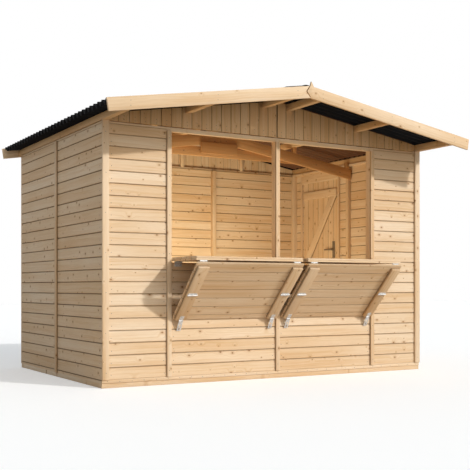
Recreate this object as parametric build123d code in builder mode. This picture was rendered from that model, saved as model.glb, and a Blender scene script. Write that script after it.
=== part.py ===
from build123d import *
import math
import os

# Wooden market stall, in millimetres: +Z up, serving front towards -Y, door in the +X wall.
# The origin is on the ground, under the middle of the roof.

# Walls
wall_width = 3020
wall_depth = 1960
wall_top = 1925
cladding = 15
frame_depth = 45
stud_width = 20
side_stud_depth = 34
jamb_depth = 20
panel_gap = 1
top_rail_height = 19
plate_rebate = 8

# Floor
base_height = 35
bearer_width = 45
joist_count = 5
deck_thickness = 18

# Cover strips
strip_width = 36
strip_thickness = 16
corner_strip_width = 52
base_strip_height = 25
base_strip_thickness = 6

# Serving openings
opening_pitch = 973
post_width = 30
opening_head_drop = 18
head_rail_depth = 38
sill_rail_height = 40

# Back wall
back_joint_pitch = 950

# Roof
front_overhang = 469
rear_overhang = 119
side_overhang = 150
roof_pitch = 9.17
eave_purlin_height = 50
sheet_overhang = 120
sheet_thickness = 4
wave_depth = 36
wave_count = 33
wave_flank = 57
sheet_gap = 0.4
ridge_gap = 12
cap_wing = 190
cap_round = 45
cap_rise = 3
cap_thickness = 4
cap_setback = 30

# Roof timber
purlin_width = 45
purlin_height = 48
purlin_clearance = 1
mid_purlin_place = 807
ridge_purlin_place = 118
rafter_depth = 98
rafter_thickness = 28
rafter_drop = 103
rafter_end_gap = 20
tie_drop = 333
tie_height = 84
tie_half = 840
tie_thickness = 22
gusset_width = 372
gusset_drop = 313
gusset_height = 100
gusset_thickness = 20
gusset_shift = 20
truss_block_width = 36
eave_block_inset = 20
gable_post_width = 34
gable_post_depth = 22

# Bargeboards
barge_rise = 32
barge_depth = 92
barge_thickness = 18
barge_joint_gap = 9
barge_notch = 30
barge_notch_drop = 46
barge_foot = 10
barge_tip = 10
barge_tip_rise = 34
barge_tip_base = 32

# Fold-down counters and their support leaves
counter_axis_height = 921
counter_reach = 400
leaf_board = 15
counter_top_thickness = 15
leaf_side_gap = 6
leaf_head_gap = 5
sill_gap = 2
leaf_hinge_gap = 3
fold_gap = 2.5
support_wall_gap = 5
batten_width = 88
batten_thickness = 25
batten_inset = 11
batten_top_setback = 25
batten_foot_setback = 12

# Small hinges
knuckle_radius = 5
knuckle_clearance = 1
hinge_length = 60
hinge_middle = 22
hinge_play = 0.3
hinge_plate = 32
hinge_plate_thickness = 2
hinge_edge_gap = 0.5

# Bolts, hasps and staples
bolt_plate_width = 70
bolt_plate_height = 30
bolt_rod_radius = 4.5
bolt_rod_length = 84
hasp_width = 34
hasp_base = 45
hasp_plate = 2
hasp_knuckle_radius = 4
hasp_strap = 85
hasp_wall_gap = 6
hasp_slot_width = 13
hasp_slot_top = 32
hasp_slot_end = 8
fitting_play = 0.5
staple_wire = 2.5
staple_half = 8
staple_reach = 22

# Door
latch_panel_width = 172
hinge_panel_width = 176
doorway_head_drop = 84
door_gap = 6
ledge_width = 80
ledge_thickness = 20
ledge_inset = 25
bottom_ledge_rise = 139
top_ledge_drop = 100
brace_across = 98
door_strap_length = 330
door_strap_tip = 18
door_plate_length = 40
door_hinge_length = 90
handle_rise = 34
handle_inset = 80
handle_plate_width = 40
handle_plate_height = 170
handle_plate_thickness = 5
handle_neck_radius = 9
handle_neck = 42
handle_lever = 115
handle_lever_radius = 8

# Places that follow from the sizes above
side_x = wall_width / 2
clad_x = side_x - cladding
frame_x = clad_x - frame_depth
roof_length = front_overhang + wall_depth + rear_overhang
roof_front = -roof_length / 2
roof_back = roof_length / 2
front_y = roof_front + front_overhang
back_y = front_y + wall_depth
middle_y = (front_y + back_y) / 2
front_clad_y = front_y + cladding
front_frame_y = front_clad_y + frame_depth
back_clad_y = back_y - cladding
back_frame_y = back_clad_y - frame_depth
deck_top = base_height + deck_thickness
purlin_seat = wall_top + top_rail_height
half_post = post_width / 2
half_strip = strip_width / 2
half_gap = panel_gap / 2
pitch = math.radians(roof_pitch)
slope = math.tan(pitch)
sheet_apex = purlin_seat + eave_purlin_height + slope * side_x
barge_apex = sheet_apex + barge_rise
tie_bottom = sheet_apex - tie_drop
gusset_bottom = sheet_apex - gusset_drop
purlin_front = roof_front + barge_thickness
purlin_back = roof_back - barge_thickness
opening_head = wall_top - opening_head_drop
axis_standoff = knuckle_radius + knuckle_clearance
hinge_relief = axis_standoff + hinge_edge_gap
sill_top = counter_axis_height - sill_gap
counter_axis_y = front_y - axis_standoff
fold_axis_y = counter_axis_y - counter_reach
support_length = opening_head - leaf_head_gap - counter_axis_height - counter_reach
counter_bottom = counter_axis_height + axis_standoff
counter_top = counter_bottom + leaf_board
leaf_start = half_strip + leaf_side_gap
leaf_end = opening_pitch - half_strip - leaf_side_gap
first_batten = leaf_start + batten_inset + batten_width / 2
second_batten = leaf_end - batten_inset - batten_width / 2
batten_places = (first_batten, second_batten)
doorway_front = middle_y + latch_panel_width
doorway_back = back_y - hinge_panel_width
doorway_top = wall_top - doorway_head_drop
door_front = doorway_front + door_gap
door_back = doorway_back - door_gap
door_bottom = base_height + door_gap
door_top = doorway_top - door_gap
door_axis_x = side_x + axis_standoff
door_axis_y = doorway_back - door_gap / 2
bottom_ledge = door_bottom + bottom_ledge_rise
top_ledge = door_top - top_ledge_drop - ledge_width
middle_ledge = (bottom_ledge + top_ledge) / 2
handle_height = middle_ledge + ledge_width + handle_rise + handle_plate_height / 2

# The support leaf hangs from the fold axis and leans in until its foot nears the wall.
lean_reach = counter_reach + axis_standoff - support_wall_gap
lean_span = math.hypot(support_length, axis_standoff)
lean = math.acos(lean_reach / lean_span) - math.atan2(axis_standoff, support_length)
lean_in = math.cos(lean)
lean_down = math.sin(lean)
board_face = axis_standoff + leaf_board
batten_face = board_face + batten_thickness
foot_y = -support_length + batten_foot_setback
pin_out = batten_face + hasp_knuckle_radius + fitting_play
pin_y = fold_axis_y - pin_out * lean_down - foot_y * lean_in
pin_z = counter_axis_height - pin_out * lean_in + foot_y * lean_down
hasp_swing = math.asin((front_y - hasp_wall_gap - pin_y) / hasp_strap)
slot_middle = (hasp_slot_top + hasp_strap - hasp_slot_end) / 2
staple_height = pin_z - slot_middle * math.cos(hasp_swing)

corner = (Align.MIN, Align.MIN, Align.MIN)
top_centre = (Align.CENTER, Align.MAX)


def roof_z(x, lift=0):
    """Height of the sheet's lower plane above a place across the roof, lifted square to it."""
    return sheet_apex + lift / math.cos(pitch) - slope * abs(x)


def block(x0, x1, y0, y1, z0, z1):
    """Adds a square-edged piece between its six faces to the part being built."""
    with Locations((x0, y0, z0)):
        Box(x1 - x0, y1 - y0, z1 - z0, align=corner)


def leaf_plane(x):
    """Plane on the fold axis: y runs up the support leaf and z towards its inner face."""
    return Plane(
        origin=(x, fold_axis_y, counter_axis_height),
        x_dir=(1, 0, 0),
        z_dir=(0, -lean_down, -lean_in),
    )


def hinge_half(plane, length, plate, middle):
    """Adds a hinge plate and its knuckles, on a plane through the axis that faces the leaf."""
    across = Plane(origin=plane.origin, x_dir=plane.y_dir, z_dir=plane.x_dir)
    half_middle = hinge_middle / 2
    outer = length / 2 - half_middle - hinge_play
    outer_place = half_middle + hinge_play
    with BuildSketch(plane.offset(axis_standoff - hinge_plate_thickness)) as plate_face:
        with Locations((0, -hinge_relief)):
            Rectangle(length, plate - hinge_relief, align=top_centre)
        if middle:
            with Locations((0, -hinge_edge_gap)):
                Rectangle(hinge_middle, hinge_relief, align=top_centre)
        else:
            shift = outer_place + outer / 2
            with Locations((shift, -hinge_edge_gap), (-shift, -hinge_edge_gap)):
                Rectangle(outer, hinge_relief, align=top_centre)
    extrude(plate_face.sketch, amount=hinge_plate_thickness)
    if middle:
        with BuildSketch(across) as knuckle:
            Circle(knuckle_radius)
        extrude(knuckle.sketch, amount=half_middle, both=True)
    else:
        for end in (-1, 1):
            with BuildSketch(across.offset(end * outer_place)) as knuckle:
                Circle(knuckle_radius)
            extrude(knuckle.sketch, amount=end * outer)


def keep(builder, name):
    """Labels a finished piece and writes it under its own name."""
    builder.part.label = name
    export_step(builder.part, f"parts/{name}.step")


os.makedirs("parts", exist_ok=True)

# Floor: long bearers under the front and back, joists between them, and the deck
with BuildPart() as floor_bearers:
    block(-side_x, side_x, front_y, front_y + bearer_width, 0, base_height)
    block(-side_x, side_x, back_y - bearer_width, back_y, 0, base_height)
keep(floor_bearers, "floor_bearers")

joist_pitch = (wall_width - bearer_width) / (joist_count - 1)
with BuildPart() as floor_joists:
    with Locations((0, middle_y, 0)):
        with GridLocations(joist_pitch, 0, joist_count, 1):
            Box(
                bearer_width,
                wall_depth - bearer_width - bearer_width,
                base_height,
                align=(Align.CENTER, Align.CENTER, Align.MIN),
            )
keep(floor_joists, "floor_joists")

with BuildPart() as floor_deck:
    block(-frame_x, frame_x, front_frame_y, back_frame_y, base_height, deck_top)
keep(floor_deck, "floor_deck")

# Posts in the corners and beside the serving openings
with BuildPart() as corner_posts:
    for y0, y1 in ((front_clad_y, front_frame_y), (back_frame_y, back_clad_y)):
        block(-clad_x, -frame_x, y0, y1, base_height, wall_top)
        block(frame_x, clad_x, y0, y1, base_height, wall_top)
keep(corner_posts, "corner_posts")

with BuildPart() as front_posts:
    for x in (-opening_pitch, 0, opening_pitch):
        block(x - half_post, x + half_post, front_y, front_frame_y, base_height, wall_top)
keep(front_posts, "front_posts")

# Front wall: plain panels at the ends, aprons under the openings, rails and strips
with BuildPart() as front_end_panels:
    panel_x = opening_pitch + half_post
    block(-clad_x, -panel_x, front_y, front_clad_y, base_height, wall_top)
    block(panel_x, clad_x, front_y, front_clad_y, base_height, wall_top)
keep(front_end_panels, "front_end_panels")

with BuildPart() as front_aprons:
    for x in (-opening_pitch, 0):
        block(
            x + half_post,
            x + opening_pitch - half_post,
            front_y,
            front_clad_y,
            base_height,
            sill_top,
        )
keep(front_aprons, "front_aprons")

with BuildPart() as front_sill_rails:
    for x in (-opening_pitch, 0):
        block(
            x + half_post,
            x + opening_pitch - half_post,
            front_clad_y,
            front_frame_y,
            sill_top - sill_rail_height,
            sill_top,
        )
keep(front_sill_rails, "front_sill_rails")

with BuildPart() as front_head_rail:
    block(-frame_x, frame_x, front_y, front_y + head_rail_depth, wall_top, purlin_seat)
    for x in (-opening_pitch, 0):
        block(
            x + half_post,
            x + opening_pitch - half_post,
            front_y,
            front_y + head_rail_depth,
            opening_head,
            purlin_seat,
        )
keep(front_head_rail, "front_head_rail")

with BuildPart() as front_cover_strips:
    strip_y = front_y - strip_thickness
    strip_foot = base_height + base_strip_height
    for x in (-opening_pitch, 0, opening_pitch):
        block(x - half_strip, x + half_strip, strip_y, front_y, strip_foot, opening_head)
    corner_x = side_x - corner_strip_width
    block(-side_x, -corner_x, strip_y, front_y, strip_foot, purlin_seat)
    block(corner_x, side_x, strip_y, front_y, strip_foot, purlin_seat)
keep(front_cover_strips, "front_cover_strips")

with BuildPart() as front_base_strip:
    block(
        -side_x,
        side_x,
        front_y - base_strip_thickness,
        front_y,
        base_height,
        base_height + base_strip_height,
    )
keep(front_base_strip, "front_base_strip")

# Side walls: two panels on the left, and panels around the doorway on the right
with BuildPart() as left_wall_panels:
    block(-side_x, -clad_x, front_y, middle_y - half_gap, base_height, wall_top)
    block(-side_x, -clad_x, middle_y + half_gap, back_y, base_height, wall_top)
keep(left_wall_panels, "left_wall_panels")

with BuildPart() as right_wall_panels:
    block(clad_x, side_x, front_y, middle_y - half_gap, base_height, wall_top)
    block(clad_x, side_x, middle_y + half_gap, doorway_front, base_height, wall_top)
    block(clad_x, side_x, doorway_back, back_y, base_height, wall_top)
keep(right_wall_panels, "right_wall_panels")

with BuildPart() as right_over_door_panel:
    block(clad_x, side_x, doorway_front, doorway_back, doorway_top, wall_top)
keep(right_over_door_panel, "right_over_door_panel")

with BuildPart() as side_top_plates:
    plate_edge = purlin_seat - plate_rebate
    block(-clad_x, -frame_x, front_y, back_y, wall_top, purlin_seat)
    block(frame_x, clad_x, front_y, back_y, wall_top, purlin_seat)
    block(-side_x, -clad_x, front_y, back_y, wall_top, plate_edge)
    block(clad_x, side_x, front_y, back_y, wall_top, plate_edge)
keep(side_top_plates, "side_top_plates")

with BuildPart() as side_cover_strips:
    strip_span = (middle_y - half_strip, middle_y + half_strip)
    block(-side_x - strip_thickness, -side_x, *strip_span, base_height, wall_top)
    block(side_x, side_x + strip_thickness, *strip_span, base_height, wall_top)
keep(side_cover_strips, "side_cover_strips")

with BuildPart() as door_jambs:
    jamb_front = doorway_front - stud_width
    jamb_back = doorway_back + stud_width
    jamb_x = (clad_x - jamb_depth, clad_x)
    block(*jamb_x, jamb_front, doorway_front, base_height, wall_top)
    block(*jamb_x, doorway_back, jamb_back, base_height, wall_top)
keep(door_jambs, "door_jambs")

with BuildPart() as door_head:
    block(*jamb_x, doorway_front, doorway_back, doorway_top, wall_top)
keep(door_head, "door_head")

# Back wall in three panels
with BuildPart() as back_wall_panels:
    joints = (-back_joint_pitch / 2, back_joint_pitch / 2)
    starts = (-clad_x, joints[0] + half_gap, joints[1] + half_gap)
    ends = (joints[0] - half_gap, joints[1] - half_gap, clad_x)
    for x0, x1 in zip(starts, ends):
        block(x0, x1, back_clad_y, back_y, base_height, wall_top)
keep(back_wall_panels, "back_wall_panels")

with BuildPart() as wall_studs:
    for x in joints:
        block(x - stud_width, x + stud_width, back_frame_y, back_clad_y, base_height, wall_top)
    stud_y = (middle_y - stud_width, middle_y + stud_width)
    stud_x = clad_x - side_stud_depth
    block(-clad_x, -stud_x, *stud_y, base_height, wall_top)
    block(stud_x, clad_x, *stud_y, base_height, wall_top)
keep(wall_studs, "wall_studs")

with BuildPart() as back_head_rail:
    rail_y = back_clad_y - gable_post_depth
    block(-frame_x, frame_x, rail_y, back_y, wall_top, purlin_seat)
keep(back_head_rail, "back_head_rail")

with BuildPart() as back_cover_strips:
    strip_back = back_y + strip_thickness
    for x in joints:
        block(x - half_strip, x + half_strip, back_y, strip_back, base_height, purlin_seat)
    block(-side_x, -corner_x, back_y, strip_back, base_height, purlin_seat)
    block(corner_x, side_x, back_y, strip_back, base_height, purlin_seat)
keep(back_cover_strips, "back_cover_strips")


def purlin_outline(place, side, clearance=0):
    """Outline of an upright purlin, its top bevelled to the roof, with clearance round it."""
    inner = place - purlin_width / 2 - clearance
    outer = place + purlin_width / 2 + clearance
    low = roof_z(place) - purlin_height - clearance
    with BuildLine(mode=Mode.PRIVATE) as outline:
        Polyline(
            (side * inner, low),
            (side * outer, low),
            (side * outer, roof_z(outer, clearance - sheet_gap)),
            (side * inner, roof_z(inner, clearance - sheet_gap)),
            close=True,
        )
    return outline.line


# Gables of upright boards in two halves, notched round the purlins
gable_half = side_x - purlin_width - purlin_clearance
gable_ends = (("front_gable", front_clad_y), ("back_gable", back_y))
for gable_name, gable_y in gable_ends:
    with BuildPart() as gable:
        with BuildSketch(Plane.XZ.offset(-gable_y)):
            for side in (-1, 1):
                with BuildLine():
                    Polyline(
                        (side * half_gap, purlin_seat),
                        (side * gable_half, purlin_seat),
                        (side * gable_half, roof_z(gable_half, -sheet_gap)),
                        (side * half_gap, roof_z(half_gap, -sheet_gap)),
                        close=True,
                    )
                make_face()
                for place in (mid_purlin_place, ridge_purlin_place):
                    notch = purlin_outline(place, side, purlin_clearance)
                    make_face(notch.edges(), mode=Mode.SUBTRACT)
        extrude(amount=cladding)
    keep(gable, gable_name)

# Purlins from bargeboard to bargeboard
purlin_length = purlin_back - purlin_front
eave_inner = side_x - purlin_width
with BuildPart() as eave_purlins:
    with BuildSketch(Plane.XZ.offset(-purlin_back)):
        for side in (-1, 1):
            with BuildLine():
                Polyline(
                    (side * eave_inner, purlin_seat),
                    (side * side_x, purlin_seat),
                    (side * side_x, roof_z(side_x, -sheet_gap)),
                    (side * eave_inner, roof_z(eave_inner, -sheet_gap)),
                    close=True,
                )
            make_face()
    extrude(amount=purlin_length)
keep(eave_purlins, "eave_purlins")

purlin_pairs = (("mid_purlins", mid_purlin_place), ("ridge_purlins", ridge_purlin_place))
for purlin_name, place in purlin_pairs:
    with BuildPart() as purlins:
        with BuildSketch(Plane.XZ.offset(-purlin_back)):
            for side in (-1, 1):
                make_face(purlin_outline(place, side).edges())
        extrude(amount=purlin_length)
    keep(purlins, purlin_name)

# Short posts on the head rails, under the purlins, against both gables
with BuildPart() as gable_posts:
    for post_y in (front_clad_y, back_clad_y - gable_post_depth):
        for place in (mid_purlin_place, ridge_purlin_place):
            post_top = roof_z(place) - purlin_height
            for side in (-1, 1):
                start = side * place - gable_post_width / 2
                block(
                    start,
                    start + gable_post_width,
                    post_y,
                    post_y + gable_post_depth,
                    purlin_seat,
                    post_top,
                )
keep(gable_posts, "gable_posts")

# Truss at mid depth, against the wall studs: two rafters, a tie behind them and a gusset in front
rafter_top = -rafter_drop
rafter_bottom = rafter_top - rafter_depth
rafter_end = clad_x - rafter_end_gap
truss_back = middle_y - stud_width
truss_front = truss_back - rafter_thickness
with BuildPart() as truss_rafters:
    with BuildSketch(Plane.XZ.offset(-truss_back)):
        for side in (-1, 1):
            with BuildLine():
                Polyline(
                    (side * half_gap, roof_z(half_gap, rafter_top)),
                    (side * rafter_end, roof_z(rafter_end, rafter_top)),
                    (side * rafter_end, roof_z(rafter_end, rafter_bottom)),
                    (side * half_gap, roof_z(half_gap, rafter_bottom)),
                    close=True,
                )
            make_face()
    extrude(amount=rafter_thickness)
keep(truss_rafters, "truss_rafters")

with BuildPart() as truss_tie:
    tie_y = (truss_back, truss_back + tie_thickness)
    block(-tie_half, tie_half, *tie_y, tie_bottom, tie_bottom + tie_height)
keep(truss_tie, "truss_tie")

with BuildPart() as truss_gusset:
    gusset_half = gusset_width / 2
    gusset_x = (-gusset_half - gusset_shift, gusset_half - gusset_shift)
    gusset_y = (truss_front - gusset_thickness, truss_front)
    block(*gusset_x, *gusset_y, gusset_bottom, gusset_bottom + gusset_height)
keep(truss_gusset, "truss_gusset")

# Blocks that stand on the rafters, under the purlins and beside the wall tops
eave_block = frame_x - eave_block_inset
with BuildPart() as truss_blocks:
    with BuildSketch(Plane.XZ.offset(-truss_back)):
        for place in (ridge_purlin_place, mid_purlin_place, eave_block):
            near = place - truss_block_width / 2
            far = place + truss_block_width / 2
            block_top = roof_z(place) - purlin_height
            for side in (-1, 1):
                with BuildLine():
                    Polyline(
                        (side * near, roof_z(near, rafter_top)),
                        (side * far, roof_z(far, rafter_top)),
                        (side * far, block_top),
                        (side * near, block_top),
                        close=True,
                    )
                make_face()
    extrude(amount=rafter_thickness)
keep(truss_blocks, "truss_blocks")

# Corrugated roof sheets, waves side by side along the ridge and running down each slope
wave_pitch = (purlin_length - 2 * panel_gap) / wave_count
half_wave = wave_depth / 2
quarter = wave_pitch / 4
flank = math.radians(wave_flank)
bend_share = 2 * math.sin(flank / 2) ** 2
bend = (quarter * math.sin(flank) - half_wave * math.cos(flank)) / bend_share
bend_half = bend * math.sin(flank)
bend_drop = bend * bend_share
sheet_length = (side_x + sheet_overhang) / math.cos(pitch) - ridge_gap
for sheet_name, side in (("roof_sheet_left", -1), ("roof_sheet_right", 1)):
    down = (side * math.cos(pitch), 0, -math.sin(pitch))
    start = Vector(0, 0, sheet_apex) + Vector(*down) * ridge_gap
    sheet_plane = Plane(origin=start, x_dir=(0, side, 0), z_dir=down)
    first = panel_gap - purlin_length / 2
    with BuildPart() as sheet:
        with BuildSketch(sheet_plane):
            with BuildLine():
                for lower in (sheet_thickness, 0):
                    high = lower + wave_depth
                    last = (first, lower + half_wave)
                    for wave in range(wave_count):
                        crest_y = first + wave * wave_pitch + quarter
                        trough_y = crest_y + 2 * quarter
                        rise = (crest_y - bend_half, high - bend_drop)
                        fall = (crest_y + bend_half, high - bend_drop)
                        dip = (trough_y - bend_half, lower + bend_drop)
                        lift = (trough_y + bend_half, lower + bend_drop)
                        Line(last, rise)
                        ThreePointArc(rise, (crest_y, high), fall)
                        Line(fall, dip)
                        ThreePointArc(dip, (trough_y, lower), lift)
                        last = lift
                    Line(last, (first + wave_count * wave_pitch, lower + half_wave))
                for y_end in (first, first + wave_count * wave_pitch):
                    Line((y_end, half_wave), (y_end, half_wave + sheet_thickness))
            make_face()
        extrude(amount=sheet_length)
    keep(sheet, sheet_name)

# Ridge cap with a raised round along its middle, lying on the crests of the sheets
crest = wave_depth + sheet_thickness + sheet_gap
with BuildPart() as ridge_cap:
    with BuildSketch(Plane.XZ.offset(-purlin_back + cap_setback)):
        with BuildLine():
            for lift in (crest, crest + cap_thickness):
                wing_z = roof_z(cap_wing, lift)
                round_z = roof_z(cap_round, lift)
                Line((-cap_wing, wing_z), (-cap_round, round_z))
                ThreePointArc(
                    (-cap_round, round_z),
                    (0, roof_z(0, lift) + cap_rise),
                    (cap_round, round_z),
                )
                Line((cap_round, round_z), (cap_wing, wing_z))
            for x in (-cap_wing, cap_wing):
                Line((x, roof_z(x, crest)), (x, roof_z(x, crest + cap_thickness)))
        make_face()
    extrude(amount=purlin_length - 2 * cap_setback)
keep(ridge_cap, "ridge_cap")


# Bargeboards: square-cut outer ends and, at the front, a toothed joint at the apex
def barge_z(x, drop=0):
    """Height of a bargeboard's upper edge, or of a line set down square to it."""
    return barge_apex - drop / math.cos(pitch) - slope * abs(x)


barge_end = side_x + side_overhang
barge_end_low = barge_end - barge_depth * math.sin(pitch)
barge_end_low_z = barge_z(barge_end) - barge_depth * math.cos(pitch)
with BuildPart() as front_bargeboards:
    with BuildSketch(Plane.XZ.offset(-purlin_front)):
        with BuildLine():
            Polyline(
                (0, barge_apex),
                (barge_tip, barge_apex + barge_tip_rise),
                (barge_tip_base, barge_z(barge_tip_base)),
                (barge_end, barge_z(barge_end)),
                (barge_end_low, barge_end_low_z),
                (barge_foot, barge_z(barge_foot, barge_depth)),
                (-barge_notch, barge_apex - barge_notch_drop),
                close=True,
            )
        make_face()
        with BuildLine():
            Polyline(
                (-barge_joint_gap, barge_z(barge_joint_gap)),
                (-barge_end, barge_z(barge_end)),
                (-barge_end_low, barge_end_low_z),
                (-barge_joint_gap, barge_z(barge_joint_gap, barge_depth)),
                (barge_foot - barge_joint_gap, barge_z(barge_foot, barge_depth)),
                (-barge_notch - barge_joint_gap, barge_apex - barge_notch_drop),
                close=True,
            )
        make_face()
    extrude(amount=barge_thickness)
keep(front_bargeboards, "front_bargeboards")

with BuildPart() as rear_bargeboards:
    with BuildSketch(Plane.XZ.offset(-roof_back)):
        for side in (-1, 1):
            with BuildLine():
                Polyline(
                    (side * half_gap, barge_z(half_gap)),
                    (side * barge_end, barge_z(barge_end)),
                    (side * barge_end_low, barge_end_low_z),
                    (side * half_gap, barge_z(half_gap, barge_depth)),
                    close=True,
                )
            make_face()
    extrude(amount=barge_thickness)
keep(rear_bargeboards, "rear_bargeboards")

# Fold-down counters with their support leaves, one under each opening
hinge_places = [side * x for side in (-1, 1) for x in batten_places]
for side_name, side in (("left", -1), ("right", 1)):
    x0 = min(side * leaf_start, side * leaf_end)
    x1 = max(side * leaf_start, side * leaf_end)
    places = [side * x for x in batten_places]
    leaf_y = (fold_axis_y + fold_gap, counter_axis_y - leaf_hinge_gap)
    with BuildPart() as counter_boards:
        block(x0, x1, *leaf_y, counter_bottom, counter_top)
    keep(counter_boards, f"{side_name}_counter_boards")

    with BuildPart() as counter_surface:
        block(x0, x1, *leaf_y, counter_top, counter_top + counter_top_thickness)
    keep(counter_surface, f"{side_name}_counter_top")

    with BuildPart() as counter_hinges:
        for x in places:
            sill_plane = Plane(
                origin=(x, counter_axis_y, counter_axis_height),
                x_dir=(1, 0, 0),
                z_dir=(0, 0, 1),
            )
            fold_plane = Plane(
                origin=(x, fold_axis_y, counter_axis_height),
                x_dir=(-1, 0, 0),
                z_dir=(0, 0, 1),
            )
            hinge_half(sill_plane, hinge_length, hinge_plate, True)
            hinge_half(fold_plane, hinge_length, hinge_plate, False)
    keep(counter_hinges, f"{side_name}_counter_hinges")

    leaf_middle = (x0 + x1) / 2
    with BuildPart() as support_boards:
        with BuildSketch(leaf_plane(leaf_middle).offset(axis_standoff)):
            with Locations((0, -fold_gap)):
                Rectangle(x1 - x0, support_length - fold_gap, align=top_centre)
        extrude(amount=leaf_board)
    keep(support_boards, f"{side_name}_support_boards")

    batten_length = support_length - batten_top_setback - batten_foot_setback
    with BuildPart() as support_battens:
        for x in places:
            with BuildSketch(leaf_plane(x).offset(board_face)):
                with Locations((0, -batten_top_setback)):
                    Rectangle(batten_width, batten_length, align=top_centre)
            extrude(amount=batten_thickness)
    keep(support_battens, f"{side_name}_support_battens")

    bolt_y = -batten_top_setback - batten_length / 2
    with BuildPart() as support_fittings:
        for x in places:
            plane = leaf_plane(x)
            hinge_half(plane, hinge_length, hinge_plate, True)
            # Barrel bolt across the batten
            with BuildSketch(plane.offset(batten_face)):
                with Locations((0, bolt_y)):
                    Rectangle(bolt_plate_width, bolt_plate_height)
            extrude(amount=hasp_plate)
            rod_out = batten_face + bolt_rod_radius + fitting_play
            rod = plane.from_local_coords((-bolt_rod_length / 2, bolt_y, rod_out))
            with BuildSketch(Plane(origin=rod, z_dir=(1, 0, 0))):
                Circle(bolt_rod_radius)
            extrude(amount=bolt_rod_length)
            # Hasp at the batten's foot, its slotted strap hanging to the wall
            with BuildSketch(plane.offset(batten_face)):
                with Locations((0, foot_y)):
                    Rectangle(hasp_width, hasp_base, align=(Align.CENTER, Align.MIN))
            extrude(amount=hasp_plate)
            pin = (x, pin_y, pin_z)
            with BuildSketch(Plane(origin=pin, z_dir=(1, 0, 0))):
                Circle(hasp_knuckle_radius)
            extrude(amount=hasp_width / 2, both=True)
            strap_plane = Plane(
                origin=pin,
                x_dir=(1, 0, 0),
                z_dir=(0, -math.cos(hasp_swing), -math.sin(hasp_swing)),
            )
            with BuildSketch(strap_plane):
                Rectangle(hasp_width, hasp_strap, align=top_centre)
                with Locations((0, -hasp_slot_top)):
                    Rectangle(
                        hasp_slot_width,
                        hasp_strap - hasp_slot_top - hasp_slot_end,
                        align=top_centre,
                        mode=Mode.SUBTRACT,
                    )
            extrude(amount=hasp_plate / 2, both=True)
    keep(support_fittings, f"{side_name}_support_fittings")

# Fixed halves of the counter hinges, and staples for the hasps, on the aprons
with BuildPart() as apron_fittings:
    staple_bend = front_y - staple_reach + staple_half
    staple_low = staple_height - staple_half
    staple_high = staple_height + staple_half
    for x in hinge_places:
        wall_plane = Plane(
            origin=(x, counter_axis_y, counter_axis_height),
            x_dir=(-1, 0, 0),
            z_dir=(0, 1, 0),
        )
        hinge_half(wall_plane, hinge_length, hinge_plate, False)
        with BuildLine(Plane.YZ.offset(x)) as staple_path:
            Line((front_y, staple_low), (staple_bend, staple_low))
            ThreePointArc(
                (staple_bend, staple_low),
                (staple_bend - staple_half, staple_height),
                (staple_bend, staple_high),
            )
            Line((staple_bend, staple_high), (front_y, staple_high))
        with BuildSketch(Plane(origin=(x, front_y, staple_low), z_dir=(0, -1, 0))):
            Circle(staple_wire)
        sweep(path=staple_path.line)
keep(apron_fittings, "apron_fittings")

# Door of upright boards, with three ledges and two braces on its inner face
with BuildPart() as door_boards:
    block(clad_x, side_x, door_front, door_back, door_bottom, door_top)
keep(door_boards, "door_boards")

ledge_front = door_front + ledge_inset
ledge_back = door_back - ledge_inset
ledge_heights = (bottom_ledge, middle_ledge, top_ledge)
with BuildPart() as door_bracing:
    with BuildSketch(Plane.YZ.offset(clad_x - ledge_thickness)):
        for z in ledge_heights:
            with Locations((ledge_front, z)):
                Rectangle(ledge_back - ledge_front, ledge_width, align=(Align.MIN, Align.MIN))
        for low, high in zip(ledge_heights, ledge_heights[1:]):
            low_edge = low + ledge_width
            with BuildLine():
                Polyline(
                    (ledge_back - brace_across, low_edge),
                    (ledge_back, low_edge),
                    (ledge_front + brace_across, high),
                    (ledge_front, high),
                    close=True,
                )
            make_face()
    extrude(amount=ledge_thickness)
keep(door_bracing, "door_bracing")

strap_heights = [z + ledge_width / 2 for z in (bottom_ledge, top_ledge)]
with BuildPart() as door_straps:
    for z in strap_heights:
        strap_plane = Plane(
            origin=(door_axis_x, door_axis_y, z),
            x_dir=(0, 0, 1),
            z_dir=(-1, 0, 0),
        )
        hinge_half(strap_plane, hinge_middle, door_plate_length, True)
        with BuildSketch(strap_plane.offset(axis_standoff - hinge_plate_thickness)):
            with BuildLine():
                Polyline(
                    (-hinge_middle / 2, -hinge_relief),
                    (hinge_middle / 2, -hinge_relief),
                    (door_strap_tip / 2, -door_strap_length),
                    (-door_strap_tip / 2, -door_strap_length),
                    close=True,
                )
            make_face()
        extrude(amount=hinge_plate_thickness)
keep(door_straps, "door_straps")

with BuildPart() as door_hinge_plates:
    for z in strap_heights:
        plate_plane = Plane(
            origin=(door_axis_x, door_axis_y, z),
            x_dir=(0, 0, -1),
            z_dir=(-1, 0, 0),
        )
        hinge_half(plate_plane, door_hinge_length, door_plate_length, False)
keep(door_hinge_plates, "door_hinge_plates")

# Lever handles on plates, one on each face of the door
handle_y = door_front + handle_inset
with BuildPart() as door_handle:
    handle_faces = ((clad_x, -1), (side_x, 1))
    for face_x, out in handle_faces:
        with BuildSketch(Plane.YZ.offset(face_x)):
            with Locations((handle_y, handle_height)):
                Rectangle(handle_plate_width, handle_plate_height)
        extrude(amount=out * handle_plate_thickness)
        with BuildSketch(Plane.YZ.offset(face_x)):
            with Locations((handle_y, handle_height)):
                Circle(handle_neck_radius)
        extrude(amount=out * handle_neck)
        lever_x = face_x + out * (handle_neck - handle_lever_radius)
        with BuildSketch(Plane.XZ.offset(-handle_y)):
            with Locations((lever_x, handle_height)):
                Circle(handle_lever_radius)
        extrude(amount=-handle_lever)
keep(door_handle, "door_handle")
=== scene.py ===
import bpy
import math
import random
import numpy as np
from mathutils import Matrix, Vector


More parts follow.
